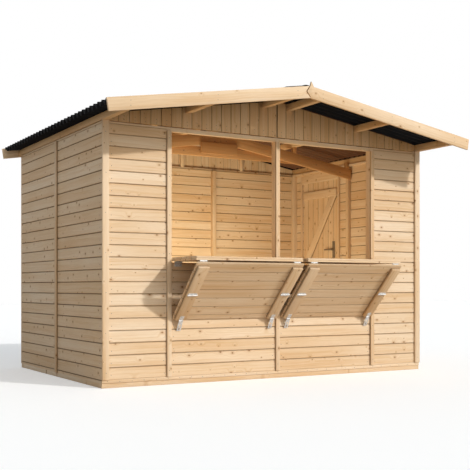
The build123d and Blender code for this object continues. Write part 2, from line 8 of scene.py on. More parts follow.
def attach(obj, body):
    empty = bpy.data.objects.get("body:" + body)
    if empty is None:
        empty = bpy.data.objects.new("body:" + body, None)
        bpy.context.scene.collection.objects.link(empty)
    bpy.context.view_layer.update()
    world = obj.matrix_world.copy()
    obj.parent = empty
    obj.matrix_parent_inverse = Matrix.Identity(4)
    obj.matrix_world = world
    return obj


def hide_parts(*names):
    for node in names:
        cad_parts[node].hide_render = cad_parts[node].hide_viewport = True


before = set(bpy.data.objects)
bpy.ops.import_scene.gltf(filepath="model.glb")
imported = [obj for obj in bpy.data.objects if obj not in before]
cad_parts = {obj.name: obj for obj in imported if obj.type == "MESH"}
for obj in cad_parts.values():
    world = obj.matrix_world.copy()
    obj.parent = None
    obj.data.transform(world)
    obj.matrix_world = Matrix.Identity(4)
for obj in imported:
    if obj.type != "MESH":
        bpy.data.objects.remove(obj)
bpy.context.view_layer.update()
scene = bpy.context.scene

# Shiplap boards of the walls, in metres
first_joint = 0.0605
shiplap_pitch = 0.0896
rebate_height = 0.0085
rebate_turn = 0.0066
rebate_bed = 0.0078
rebate_depth = 0.009
face_taper = 0.0012
slit_height = 0.006
slit_step = 0.0004
slit_depth = 0.0055
head_gap = 0.006
board_gap = 0.0004
edge_round = 0.0015

# Upright boards of the gables and the door, flat boards of the counters and the floor
gable_pitch = 0.086
door_pitch = 0.09
counter_pitch = 0.082
deck_pitch = 0.112
saw_gap = 0.0012
joint_bevel = 0.0028
panel_joint = 0.008
lath_width = 0.034
lath_thickness = 0.012

# How dark the painted shade in the joints of the boards reads
wall_joint_shade = 1
front_joint_shade = 0.62
back_gable_joint_shade = 0.5

# The counter ends at a joint of the boards, and the leaf goes on above it
fold_row = 14
fold_joint = first_joint + fold_row * shiplap_pitch - board_gap
leaf_joint_shift = 0.006

# Places on the frame that small pieces are set against
side_x = 1.510
corner_strip_x = 1.44
front_y = -0.805
back_y = 1.155
middle_y = 0.175
head_rail_top = 1.944
roof_apex = 2.2378
roof_pitch = math.radians(9.17)
roof_slope = math.tan(roof_pitch)
barge_face = 1.274
barge_recess = 0.001
barge_lift = 0.032
purlin_places = (0.118, 0.807, 1.487)
ledge_heights = (0.180, 0.9175, 1.655)
ledge_width = 0.080
door_stop_low = Vector((1.4765, 0.350, 1.826))
door_stop_high = Vector((1.4885, 0.976, 1.841))

# Nails, screws and roof caps
nail_radius = 0.0028
nail_height = 0.0016
nail_sink = 0.0009
screw_radius = 0.0036
screw_height = 0.0016
cap_radius = 0.011
cap_height = 0.007
cap_sink = 0.001
head_sides = 10
unevenness = 0.0025

# Nails of the wall boards, in columns near the ends of the panels
nail_rise = 0.030
wall_rows = 21
apron_rows = 9
end_panel_columns = (-1.435, -1.012, 1.012, 1.435)
apron_columns = (-0.932, -0.041, 0.041, 0.932)
left_wall_columns = (-0.768, 0.131, 0.219, 1.118)
right_wall_columns = (-0.768, 0.131, 0.328, 0.997, 1.118)
back_wall_columns = (-1.435, -0.517, -0.433, 0.433, 0.517, 1.435)

# Nails of the cover strips and the base strip
strip_thickness = 0.016
strip_foot = 0.11
strip_nail_step = (0, 0, 0.291)
strip_nail_count = 7
front_strip_places = (-1.484, -0.973, 0.0, 0.973, 1.484)
back_strip_places = (-1.484, -0.475, 0.475, 1.484)
base_strip_thickness = 0.006
base_nail_start = -1.47
base_nail_height = 0.047
base_nail_step = (0.098, 0, 0)
base_nail_count = 31

# Nails of the gables and bargeboards
gable_nail_rises = (0.016, 0.044)
barge_nail_drop = 0.028
barge_nail_step = (0, 0, -0.036)
barge_seeds_a_metre = 900

# Nails and screws of the door
door_nail_shares = (0.25, 0.75)
door_nail_start = 0.397
door_nail_step = (0, 0.0886, 0)
door_nail_count = 7
strap_heights = (0.220, 1.695)
strap_face = 0.0015
strap_screw_start = 0.690
strap_screw_step = (0, 0.115, 0)
strap_screw_count = 3

# Caps on every second wave of the roof sheets, over the purlins
sheet_run = 2.510
wave_count = 33
crest_height = 0.0402
cap_places = (0.165, 0.807, 1.487)
ridge_cap_reach = 0.19
ridge_cap_lift = 0.0042
caps_in_row = 16

# Limits for merging and rounding, and how far apart the boards take their grain
merge_distance = 0.00002
flat_angle = math.radians(1)
sharp_angle = math.radians(35)
smooth_angle = math.radians(40)
shiplap_smooth_angle = math.radians(30)
grain_spread = (40, 9, 9)

# Colours of the wood, then tints and shades laid over them
spruce_pale = (0.85, 0.70, 0.53, 1)
spruce_straw = (0.80, 0.62, 0.425, 1)
# Warmer, darker wood for the gable and purlins: painted warm bounced light and shade under the roof
warm_bounce_pale = (0.78, 0.575, 0.36, 1)
warm_bounce_straw = (0.73, 0.51, 0.295, 1)
# Darker red-brown wood for the truss timbers, its darkness painted shade
shaded_ruddy_pale = (0.62, 0.37, 0.18, 1)
shaded_ruddy_straw = (0.54, 0.30, 0.135, 1)
late_wood_tint = (0.88, 0.79, 0.64, 1)
heart_tint = (0.93, 0.85, 0.75, 1)
deep_board_tint = (0.93, 0.87, 0.79, 1)
fibre_brown = (0.42, 0.25, 0.12, 1)
knot_halo = (0.55, 0.33, 0.16, 1)
knot_core = (0.31, 0.165, 0.08, 1)
# Brown of the painted shade in the joints and along nailed-on edges, and how strongly it is laid on
joint_shade_brown = (0.15, 0.085, 0.042, 1)
joint_shade_strength = 0.78

# Wood pattern, as how often it changes along, across and into a board
knot_cells = (7.0, 10.0, 0.0)
growth_lines = (0.9, 75.0, 40.0)
fibre_lines = (14.0, 520.0, 520.0)
heart_bands = (0.7, 21.0, 12.0)

# Colours of the ironwork and the roof covering
zinc_dull = (0.52, 0.515, 0.51, 1)
zinc_bright = (0.70, 0.695, 0.69, 1)
# Dark brown handle steel: painted shade and painted reflection of the dim room
handle_shade_dull = (0.20, 0.16, 0.12, 1)
handle_shade_bright = (0.32, 0.26, 0.20, 1)
nail_dull = (0.13, 0.115, 0.10, 1)
nail_bright = (0.24, 0.22, 0.20, 1)
scratch_lines = (900.0, 60.0, 900.0)
bitumen_dark = (0.004, 0.004, 0.005, 1)
bitumen_pale = (0.011, 0.011, 0.012, 1)
bitumen_fibres = (180.0, 420.0, 180.0)
# Brown painted on the underside of the sheet over the room, as warm room light, and how far it reaches
bitumen_painted_room_light = (0.17, 0.09, 0.055, 1)
room_light_half_width = side_x - 0.04
room_light_half_depth = back_y - middle_y - 0.02

# Camera, lamps and surroundings
camera_place = (-3.878, -6.760, 0.732)
camera_tilt = 90
camera_turn = -30.325
camera_lens = 67.2
camera_sensor = 36
camera_shift = 0.1112
lamp_direction = Vector((-0.446, 0.753, -0.482))
lamp_strength = 2.1
lamp_colour = (1.0, 0.985, 0.96)
lamp_softness = 2.5
fill_direction = Vector((-0.25, 0.93, -0.28))
fill_strength = 0.9
fill_colour = (1.0, 0.93, 0.80)
fill_softness = 60
sky_colour = (0.87, 0.94, 1.0, 1)
sky_strength = 0.44
room_lamp_size = (2.0, 0.7)
room_lamp_place = (-0.45, -0.4, 0.4)
room_lamp_direction = Vector((0, 0.87, 0.5))
room_lamp_power = 35
room_lamp_colour = (1.0, 0.92, 0.66)
floor_size = 60
floor_drop = 0.0005
floor_lift = 0.3
floor_roughness = 0.9
floor_seen = (0.82, 0.82, 0.82, 1)
floor_bounce = (0.50, 0.395, 0.28, 1)
backdrop_colour = (1, 1, 1, 1)
backdrop_strength = 1.0

X = Vector((1, 0, 0))
Y = Vector((0, 1, 0))
Z = Vector((0, 0, 1))


def only(piece):
    """Selects one piece alone and makes it the active one."""
    bpy.ops.object.select_all(action="DESELECT")
    piece.select_set(True)
    bpy.context.view_layer.objects.active = piece


def span(piece):
    """Lowest and highest corner of a piece that sits at the origin."""
    places = np.array([corner.co for corner in piece.data.vertices])
    return Vector(places.min(0)), Vector(places.max(0))


def copied(piece, name):
    """A second piece of the same shape with a mesh of its own."""
    twin = bpy.data.objects.new(name, piece.data.copy())
    scene.collection.objects.link(twin)
    return twin


def thrown_away(piece):
    """Takes a helper shape out of the scene with its mesh."""
    mesh = piece.data
    bpy.data.objects.remove(piece)
    bpy.data.meshes.remove(mesh)


def joined(name, parts):
    """Several shapes made one piece, under one name."""
    bpy.ops.object.select_all(action="DESELECT")
    for part in parts:
        part.select_set(True)
    bpy.context.view_layer.objects.active = parts[0]
    if len(parts) > 1:
        bpy.ops.object.join()
    parts[0].name = name
    parts[0].data.name = name
    return parts[0]


def solids_of(node):
    """Merged copies of the separate solids of a frame node, in a fixed order."""
    whole = copied(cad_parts[node], node + ".work")
    whole.data.materials.clear()
    only(whole)
    bpy.ops.object.mode_set(mode="EDIT")
    bpy.ops.mesh.select_all(action="SELECT")
    bpy.ops.mesh.remove_doubles(threshold=merge_distance)
    bpy.ops.mesh.dissolve_limited(angle_limit=flat_angle)
    bpy.ops.mesh.separate(type="LOOSE")
    bpy.ops.object.mode_set(mode="OBJECT")
    parts = [whole] + [part for part in bpy.context.selected_objects if part != whole]
    return sorted(parts, key=lambda part: tuple(round(c, 3) for c in span(part)[0]))


def started_block(name, low, high):
    """A square block between two corners, to be shaped further."""
    bpy.ops.object.select_all(action="DESELECT")
    bpy.ops.mesh.primitive_cube_add(size=1, location=(low + high) / 2, scale=high - low)
    bpy.ops.object.transform_apply(location=True, rotation=True, scale=True)
    piece = bpy.context.object
    piece.name = name
    return piece


def picked(piece, test):
    """Enters edit mode with the corners selected whose place passes the test."""
    only(piece)
    bpy.ops.object.mode_set(mode="EDIT")
    bpy.ops.mesh.select_mode(type="VERT")
    bpy.ops.mesh.select_all(action="DESELECT")
    bpy.ops.object.mode_set(mode="OBJECT")
    for corner in piece.data.vertices:
        corner.select = test(corner.co)
    bpy.ops.object.mode_set(mode="EDIT")


def shifted(piece, test, step):
    """Moves the corners of a piece that pass the test."""
    picked(piece, test)
    bpy.ops.transform.translate(value=step)
    bpy.ops.object.mode_set(mode="OBJECT")


def eased(piece, test, width, segments=1):
    """Bevels the edges between the corners that pass the test."""
    picked(piece, test)
    bpy.ops.mesh.bevel(offset=width, segments=segments, affect="EDGES")
    bpy.ops.object.mode_set(mode="OBJECT")


def scored(piece, place, normal):
    """Cuts a line of edges round a piece without parting it."""
    only(piece)
    bpy.ops.object.mode_set(mode="EDIT")
    bpy.ops.mesh.select_all(action="SELECT")
    bpy.ops.mesh.bisect(plane_co=place, plane_no=normal)
    bpy.ops.object.mode_set(mode="OBJECT")


def sawn(piece, place, away):
    """Saws off what lies beyond a plane, on the side that away points to, and closes the cut."""
    only(piece)
    bpy.ops.object.mode_set(mode="EDIT")
    bpy.ops.mesh.select_all(action="SELECT")
    bpy.ops.mesh.bisect(plane_co=place, plane_no=away, use_fill=True, clear_outer=True)
    bpy.ops.object.mode_set(mode="OBJECT")


def rounded(piece, width, segments=2):
    """Rounds all the sharp edges of a piece by a bevel of that width."""
    only(piece)
    bevel = piece.modifiers.new("rounded", "BEVEL")
    bevel.width = width
    bevel.segments = segments
    bevel.limit_method = "ANGLE"
    bevel.angle_limit = sharp_angle
    bpy.ops.object.modifier_apply(modifier=bevel.name)
    bpy.ops.object.shade_smooth_by_angle(angle=smooth_angle)


def repeated(piece, step, count):
    """Copies a shape along a line, as one mesh."""
    only(piece)
    line = piece.modifiers.new("line", "ARRAY")
    line.use_relative_offset = False
    line.use_constant_offset = True
    line.constant_offset_displace = step
    line.count = count
    bpy.ops.object.modifier_apply(modifier=line.name)


def islands(mesh):
    """For each corner of a mesh, the number of the separate board that it belongs to."""
    pairs = np.empty(len(mesh.edges) * 2, dtype=np.int64)
    mesh.edges.foreach_get("vertices", pairs)
    one, other = pairs.reshape(-1, 2).T
    label = np.arange(len(mesh.vertices))
    while True:
        before = label.copy()
        lowest = np.minimum(label[one], label[other])
        np.minimum.at(label, one, lowest)
        np.minimum.at(label, other, lowest)
        label = label[label]
        if (label == before).all():
            return np.unique(label, return_inverse=True)[1]


def grained(piece, seed, along=None):
    """Gives every board of a piece its own grain, along its length, and its own tone."""
    mesh = piece.data
    places = np.empty(len(mesh.vertices) * 3)
    mesh.vertices.foreach_get("co", places)
    places = places.reshape(-1, 3)
    board_of = islands(mesh)
    grain = np.zeros_like(places)
    tone = np.zeros(len(places))
    chance = random.Random(seed)
    for board in range(board_of.max() + 1):
        mine = board_of == board
        own = places[mine] - (places[mine].max(0) + places[mine].min(0)) / 2
        axes = np.linalg.eigh(own.T @ own)[1].T[::-1]
        if along is not None:
            run = np.array(along)
            reach = [np.ptp(own @ (axis - run * (axis @ run))) for axis in axes]
            wide = axes[int(np.argmax(reach))]
            wide = wide - run * (wide @ run)
            wide = wide / np.linalg.norm(wide)
            axes = np.array([run, wide, np.cross(run, wide)])
        offset = [chance.uniform(0, spread) for spread in grain_spread]
        grain[mine] = own @ axes.T + offset
        tone[mine] = chance.random()
    kept = mesh.attributes.new("grain", "FLOAT_VECTOR", "POINT")
    kept.data.foreach_set("vector", grain.ravel())
    kept = mesh.attributes.new("tone", "FLOAT", "POINT")
    kept.data.foreach_set("value", tone)


def node(tree, kind, inputs=None, **settings):
    """Adds a shader node, with its settings, and its inputs as values or links."""
    made = tree.nodes.new(kind)
    for key, value in settings.items():
        setattr(made, key, value)
    for key, value in (inputs or {}).items():
        if isinstance(value, bpy.types.NodeSocket):
            tree.links.new(value, made.inputs[key])
        else:
            made.inputs[key].default_value = value
    return made


def new_material(name):
    """An empty node material with its shader and surface."""
    material = bpy.data.materials.new(name)
    material.use_nodes = True
    tree = material.node_tree
    return material, tree, tree.nodes["Principled BSDF"]


def math_node(tree, operation, a, b=0.0):
    """The result of a sum, product or comparison of two values."""
    made = node(tree, "ShaderNodeMath", {0: a, 1: b}, operation=operation)
    return made.outputs[0]


def ranged(tree, value, low, high, to_low, to_high):
    """A value taken smoothly from one range to another."""
    made = node(
        tree,
        "ShaderNodeMapRange",
        {"Value": value, 1: low, 2: high, 3: to_low, 4: to_high},
        interpolation_type="SMOOTHSTEP",
    )
    return made.outputs[0]


def stretched(tree, vector, scale):
    """Coordinates stretched by a factor for each direction."""
    made = node(tree, "ShaderNodeVectorMath", {0: vector, 1: scale}, operation="MULTIPLY")
    return made.outputs[0]


def blended(tree, factor, one, other, blend="MIX"):
    """One colour laid over another."""
    made = node(tree, "ShaderNodeMix", data_type="RGBA", blend_type=blend)
    for place, value in ((0, factor), (6, one), (7, other)):
        if isinstance(value, bpy.types.NodeSocket):
            tree.links.new(value, made.inputs[place])
        else:
            made.inputs[place].default_value = value
    return made.outputs[2]


def seen_directly(tree):
    """One where a surface is seen, also in a reflection or through glass, and zero for bounced light."""
    ray = node(tree, "ShaderNodeLightPath")
    seen = math_node(tree, "MAXIMUM", ray.outputs["Is Camera Ray"], ray.outputs["Is Glossy Ray"])
    return math_node(tree, "MAXIMUM", seen, ray.outputs["Is Transmission Ray"])


def planed_spruce(name, pale, straw, knot_share):
    """Planed spruce: growth lines that bend round brown knots, fine fibre and a tone for each board."""
    material, tree, shader = new_material(name)
    grain = node(tree, "ShaderNodeAttribute", attribute_name="grain").outputs["Vector"]
    tone = node(tree, "ShaderNodeAttribute", attribute_name="tone").outputs["Fac"]
    # Knots, one to a cell at most
    cells = node(
        tree,
        "ShaderNodeTexVoronoi",
        {"Vector": stretched(tree, grain, knot_cells), "Scale": 1.0},
        voronoi_dimensions="2D",
    )
    chance = node(tree, "ShaderNodeSeparateColor", {0: cells.outputs["Color"]})
    there = math_node(tree, "LESS_THAN", chance.outputs[0], knot_share)
    radius = ranged(tree, chance.outputs[1], 0.0, 1.0, 0.024, 0.075)
    near = math_node(tree, "DIVIDE", cells.outputs["Distance"], radius)
    core = math_node(tree, "MULTIPLY", ranged(tree, near, 0.55, 1.0, 1.0, 0.0), there)
    halo = math_node(tree, "MULTIPLY", ranged(tree, near, 0.8, 3.0, 0.5, 0.0), there)
    bend = math_node(tree, "MULTIPLY", ranged(tree, near, 0.0, 7.0, 2.6, 0.0), there)
    # Growth lines along the board
    wander = node(tree, "ShaderNodeTexNoise", {"Vector": grain, "Scale": 2.1, "Detail": 1.0})
    sway = math_node(tree, "MULTIPLY", wander.outputs["Fac"], 3.5)
    push = node(tree, "ShaderNodeCombineXYZ", {1: math_node(tree, "ADD", bend, sway)})
    lines_at = node(
        tree,
        "ShaderNodeVectorMath",
        {0: stretched(tree, grain, growth_lines), 1: push.outputs[0]},
        operation="ADD",
    )
    lines = node(
        tree,
        "ShaderNodeTexNoise",
        {"Vector": lines_at.outputs[0], "Scale": 1.0, "Detail": 3.0, "Roughness": 0.55},
    )
    fibre = node(
        tree,
        "ShaderNodeTexNoise",
        {"Vector": stretched(tree, grain, fibre_lines), "Scale": 1.0, "Detail": 1.0},
    )
    cloud = node(tree, "ShaderNodeTexNoise", {"Vector": grain, "Scale": 1.3, "Detail": 2.0})
    heart = node(
        tree,
        "ShaderNodeTexNoise",
        {"Vector": stretched(tree, grain, heart_bands), "Scale": 1.0, "Detail": 2.0},
    )
    # Colour, from the ground tone up
    late_wood = ranged(tree, lines.outputs["Fac"], 0.45, 0.72, 0.0, 1.0)
    colour = blended(tree, ranged(tree, cloud.outputs["Fac"], 0.3, 0.7, 0.0, 1.0), pale, straw)
    darker = blended(tree, 1.0, colour, late_wood_tint, "MULTIPLY")
    colour = blended(tree, math_node(tree, "MULTIPLY", late_wood, 0.75), colour, darker)
    redder = blended(tree, 1.0, colour, heart_tint, "MULTIPLY")
    colour = blended(tree, ranged(tree, heart.outputs["Fac"], 0.42, 0.68, 0.0, 0.7), colour, redder)
    colour = blended(tree, ranged(tree, fibre.outputs["Fac"], 0.3, 0.7, 0.0, 0.14), colour, fibre_brown)
    deep_board = blended(tree, 1.0, colour, deep_board_tint, "MULTIPLY")
    colour = blended(tree, tone, colour, deep_board)
    colour = blended(tree, halo, colour, knot_halo)
    # Painted shade in the joints and along nailed-on edges, with the knots on top
    joint = node(tree, "ShaderNodeAttribute", attribute_name="joint").outputs["Fac"]
    colour = blended(tree, math_node(tree, "MULTIPLY", joint, joint_shade_strength), colour, joint_shade_brown)
    colour = blended(tree, core, colour, knot_core)
    tree.links.new(colour, shader.inputs["Base Color"])
    tree.links.new(ranged(tree, late_wood, 0.0, 1.0, 0.68, 0.52), shader.inputs["Roughness"])
    shader.inputs["Specular IOR Level"].default_value = 0.3
    relief = math_node(tree, "ADD", math_node(tree, "MULTIPLY", fibre.outputs["Fac"], 0.4), late_wood)
    relief = math_node(tree, "SUBTRACT", relief, core)
    bump = node(tree, "ShaderNodeBump", {"Height": relief, "Strength": 0.35, "Distance": 0.0006})
    tree.links.new(bump.outputs[0], shader.inputs["Normal"])
    return material


def zinc_plate(name, dull, bright):
    """Plated steel with a cloudy surface and fine scratches."""
    material, tree, shader = new_material(name)
    place = node(tree, "ShaderNodeTexCoord").outputs["Object"]
    cloud = node(tree, "ShaderNodeTexNoise", {"Vector": place, "Scale": 55.0, "Detail": 4.0})
    crystals = node(tree, "ShaderNodeTexVoronoi", {"Vector": place, "Scale": 190.0})
    spangle = node(tree, "ShaderNodeSeparateColor", {0: crystals.outputs["Color"]}).outputs[0]
    mixed = math_node(tree, "ADD", math_node(tree, "MULTIPLY", spangle, 0.4), cloud.outputs["Fac"])
    colour = blended(tree, ranged(tree, mixed, 0.4, 1.0, 0.0, 1.0), dull, bright)
    tree.links.new(colour, shader.inputs["Base Color"])
    tree.links.new(ranged(tree, mixed, 0.4, 1.0, 0.38, 0.55), shader.inputs["Roughness"])
    shader.inputs["Metallic"].default_value = 0.4
    scratch = node(
        tree,
        "ShaderNodeTexNoise",
        {"Vector": stretched(tree, place, scratch_lines), "Scale": 1.0, "Detail": 2.0},
    )
    bump = node(
        tree,
        "ShaderNodeBump",
        {"Height": scratch.outputs["Fac"], "Strength": 0.15, "Distance": 0.0003},
    )
    tree.links.new(bump.outputs[0], shader.inputs["Normal"])
    return material


def bitumen_sheet(name):
    """Black corrugated bitumen sheet: fibrous, faintly mottled and dull, with warm room light painted
    brown on its underside.
    """
    material, tree, shader = new_material(name)
    place = node(tree, "ShaderNodeTexCoord").outputs["Object"]
    cloud = node(tree, "ShaderNodeTexNoise", {"Vector": place, "Scale": 7.0, "Detail": 5.0})
    fibres = node(
        tree,
        "ShaderNodeTexNoise",
        {"Vector": stretched(tree, place, bitumen_fibres), "Scale": 1.0, "Detail": 3.0},
    )
    mottle = ranged(tree, cloud.outputs["Fac"], 0.35, 0.7, 0.0, 1.0)
    colour = blended(tree, mottle, bitumen_dark, bitumen_pale)
    # Painted warm room light: the side that looks down into the room is painted brown
    surface = node(tree, "ShaderNodeNewGeometry")
    facing = node(tree, "ShaderNodeSeparateXYZ", {0: surface.outputs["Normal"]})
    at = node(tree, "ShaderNodeSeparateXYZ", {0: place})
    beside = math_node(tree, "ABSOLUTE", at.outputs["X"])
    behind = math_node(tree, "ABSOLUTE", math_node(tree, "SUBTRACT", at.outputs["Y"], middle_y))
    over_room = math_node(
        tree,
        "MULTIPLY",
        math_node(tree, "LESS_THAN", beside, room_light_half_width),
        math_node(tree, "LESS_THAN", behind, room_light_half_depth),
    )
    downward = ranged(tree, facing.outputs["Z"], -0.3, 0.0, 1.0, 0.0)
    painted_room_light = math_node(tree, "MULTIPLY", downward, over_room)
    colour = blended(tree, painted_room_light, colour, bitumen_painted_room_light)
    tree.links.new(colour, shader.inputs["Base Color"])
    tree.links.new(ranged(tree, cloud.outputs["Fac"], 0.3, 0.7, 0.62, 0.82), shader.inputs["Roughness"])
    shader.inputs["Specular IOR Level"].default_value = 0.1
    bump = node(
        tree,
        "ShaderNodeBump",
        {"Height": fibres.outputs["Fac"], "Strength": 0.4, "Distance": 0.0008},
    )
    tree.links.new(bump.outputs[0], shader.inputs["Normal"])
    return material


spruce = planed_spruce("planed_spruce", spruce_pale, spruce_straw, knot_share=0.66)
shaded_ruddy_spruce = planed_spruce("shaded_ruddy_spruce", shaded_ruddy_pale, shaded_ruddy_straw, knot_share=0.4)
warm_bounce_spruce = planed_spruce("warm_bounce_spruce", warm_bounce_pale, warm_bounce_straw, knot_share=0.6)
zinc = zinc_plate("zinc_plate", zinc_dull, zinc_bright)
shaded_handle_steel = zinc_plate("shaded_handle_steel", handle_shade_dull, handle_shade_bright)
nail_steel = zinc_plate("nail_steel", nail_dull, nail_bright)
bitumen = bitumen_sheet("bitumen_sheet")


def painted_shade_marked(piece, test):
    """Marks the corners of a piece where shade is painted on the wood, in a joint or along an edge."""
    kept = piece.data.attributes.new("joint", "FLOAT", "POINT")
    kept.data.foreach_set("value", [float(test(corner.co)) for corner in piece.data.vertices])


def painted_shade_retoned(piece, change):
    """Changes how dark the painted shade at the corners of a piece reads, by their place and its depth so
    far.
    """
    for mark, corner in zip(piece.data.attributes["joint"].data, piece.data.vertices):
        mark.value = change(corner.co, mark.value)


def finished(piece, nodes, body, material):
    """Gives a piece its material and its place on the frame."""
    piece.data.materials.clear()
    piece.data.materials.append(material)
    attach(piece, body)
    if nodes:
        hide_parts(*nodes)
    return piece


def shiplap_boards(name, length, thickness, low, high, groove):
    """Rows of shiplap between two heights, run along X with their outer face at y zero."""
    upper = shiplap_pitch - board_gap
    rebate_foot = upper - rebate_height
    turn = upper - rebate_turn
    slit_low = slit_height - slit_step
    near = board_gap / 2
    inner = thickness - near
    board = started_block(name, Vector((0, 0, 0)), Vector((length, thickness, upper)))
    for height in (slit_low, slit_height, rebate_foot, turn):
        scored(board, (0, 0, height), Z)
    shifted(board, lambda co: co.y < near and co.z > upper - near, (0, rebate_depth, 0))
    shifted(board, lambda co: co.y < near and co.z > turn - near, (0, rebate_bed, 0))
    shifted(board, lambda co: co.y < near and co.z > rebate_foot - near, (0, face_taper, 0))
    shifted(board, lambda co: co.y > inner and co.z < slit_low + near, (0, -slit_depth, 0))
    eased(board, lambda co: co.y < near and co.z < near, edge_round, segments=2)
    slit_bed = thickness - slit_depth - near

    # Painted shade goes into the slit and the rebate, darker than their own occlusion makes them
    def deep(co):
        in_slit = co.y > slit_bed and co.z < slit_low + near
        in_rebate = co.y > rebate_bed / 2 and co.z > rebate_foot + near
        return co.y < inner and (in_slit or in_rebate)

    painted_shade_marked(board, deep)
    first_row = math.floor((low - first_joint) / shiplap_pitch)
    last_row = math.ceil((high - first_joint) / shiplap_pitch)
    repeated(board, (0, 0, shiplap_pitch), last_row - first_row)
    board.data.transform(Matrix.Translation((0, 0, first_joint + first_row * shiplap_pitch)))
    sawn(board, (0, 0, low), -Z)
    sawn(board, (0, 0, high), Z)
    if groove:
        # The groove under the head of a panel gets full painted shade
        scored(board, (0, 0, high - groove), Z)
        shifted(board, lambda co: co.y < rebate_bed and co.z > high - near, (0, rebate_bed, 0))
        painted_shade_retoned(board, lambda co, dark: 1.0 if co.y < slit_bed and co.z > high - near else dark)
    return board


def shiplap_over(solid, inward, up, low, groove=0):
    """Shiplap in place of a plain slab of the frame, with low as the height of its foot among the rows."""
    run = inward.cross(up)
    places = [corner.co for corner in solid.data.vertices]
    starts = [min(place.dot(axis) for place in places) for axis in (run, inward, up)]
    ends = [max(place.dot(axis) for place in places) for axis in (run, inward, up)]
    length, thickness, height = (end - start for end, start in zip(ends, starts))
    piece = shiplap_boards(solid.name, length, thickness, low, low + height, groove)
    corner = run * starts[0] + inward * starts[1] + up * (starts[2] - low)
    turned = Matrix((run, inward, up)).transposed().to_4x4()
    piece.data.transform(Matrix.Translation(corner) @ turned)
    thrown_away(solid)
    return piece


def shiplap_wall(node_name, inward, seed, joint_shade_depth):
    """All the panels of one wall node in shiplap."""
    panels = []
    for solid in solids_of(node_name):
        panels.append(shiplap_over(solid, inward, Z, span(solid)[0].z, head_gap))
    piece = joined(node_name + ".shiplap", panels)
    bpy.ops.object.shade_smooth_by_angle(angle=shiplap_smooth_angle)
    painted_shade_retoned(piece, lambda co, dark: dark * joint_shade_depth)
    grained(piece, seed, inward.cross(Z))
    finished(piece, [node_name], "stall", spruce)


def planed_timber(node_name, body, seed, cuts=(), wood=spruce, against=None):
    """The timbers of a frame node, trimmed at the planes given, with their edges eased.

    against gives, from a timber's low corner, the way to what it is nailed on, where shade is painted on
    its edge.
    """
    parts = solids_of(node_name)
    for part in parts:
        for place, away in cuts:
            sawn(part, place, away)
        rounded(part, edge_round)
        towards = against(span(part)[0]) if against else None
        if towards:
            wall = max(corner.co.dot(towards) for corner in part.data.vertices)
            painted_shade_marked(part, lambda co: co.dot(towards) > wall - 2 * edge_round)
    piece = joined(node_name + ".planed", parts)
    grained(piece, seed)
    return finished(piece, [node_name], body, wood)


def upright_or_flat_boards(node_name, body, seed, across, pitch, along, middle=0, wood=spruce):
    """A slab of the frame as boards with a vee at each joint, and a joint of the middle width at zero."""

    def joint_width(place):
        return middle if abs(place) < middle else saw_gap

    boards = []
    for solid in solids_of(node_name):
        reach = [corner.co.dot(across) for corner in solid.data.vertices]
        low = min(reach)
        count = max(1, round((max(reach) - low) / pitch))
        step = (max(reach) - low) / count
        for place in range(count):
            board = copied(solid, node_name + ".board")
            near, far = low + place * step, low + (place + 1) * step
            start, end = near - pitch, far + pitch
            if place > 0 or abs(near) < middle:
                start = near + joint_width(near) / 2
                sawn(board, across * start, -across)
            if place < count - 1 or abs(far) < middle:
                end = far - joint_width(far) / 2
                sawn(board, across * end, across)
            rounded(board, joint_bevel, segments=1)
            # Painted shade at the sawn ends, in the joints between boards
            painted_shade_marked(board, lambda co: not start + saw_gap / 2 < co.dot(across) < end - saw_gap / 2)
            boards.append(board)
        thrown_away(solid)
    piece = joined(node_name + ".boards", boards)
    grained(piece, seed, along)
    return finished(piece, [node_name], body, wood)


def mean_y(piece, height, away):
    """Mean depth of a timber's corners past a height, upwards or downwards."""
    past = [corner.co.y for corner in piece.data.vertices if (corner.co.z - height) * away.z > 0]
    return float(np.mean(past))


def leaf_axes(solid):
    """For a leaning slab: the way down its length, and the way down through its thickness."""
    places = np.array([corner.co for corner in solid.data.vertices])
    places = places - places.mean(0)
    down = Vector(np.linalg.eigh(places.T @ places)[1].T[1]).normalized()
    down = down if down.z < 0 else -down
    through = X.cross(down).normalized()
    return down, through if through.z < 0 else -through


# Walls
shiplap_wall("front_end_panels", inward=Y, seed=1, joint_shade_depth=front_joint_shade)
shiplap_wall("front_aprons", inward=Y, seed=2, joint_shade_depth=front_joint_shade)
shiplap_wall("left_wall_panels", inward=X, seed=3, joint_shade_depth=wall_joint_shade)
shiplap_wall("right_wall_panels", inward=-X, seed=4, joint_shade_depth=wall_joint_shade)
shiplap_wall("right_over_door_panel", inward=-X, seed=5, joint_shade_depth=wall_joint_shade)
shiplap_wall("back_wall_panels", inward=-Y, seed=6, joint_shade_depth=wall_joint_shade)

# Gables, floor and door
upright_or_flat_boards(
    "front_gable",
    "stall",
    seed=10,
    across=X,
    pitch=gable_pitch,
    along=Z,
    middle=panel_joint,
    wood=warm_bounce_spruce,
)
back_gable = upright_or_flat_boards("back_gable", "stall", seed=11, across=X, pitch=gable_pitch, along=Z)
painted_shade_retoned(back_gable, lambda co, dark: dark * back_gable_joint_shade)
upright_or_flat_boards("floor_deck", "stall", seed=12, across=Y, pitch=deck_pitch, along=X)
upright_or_flat_boards("door_boards", "door", seed=13, across=Y, pitch=door_pitch, along=Z)

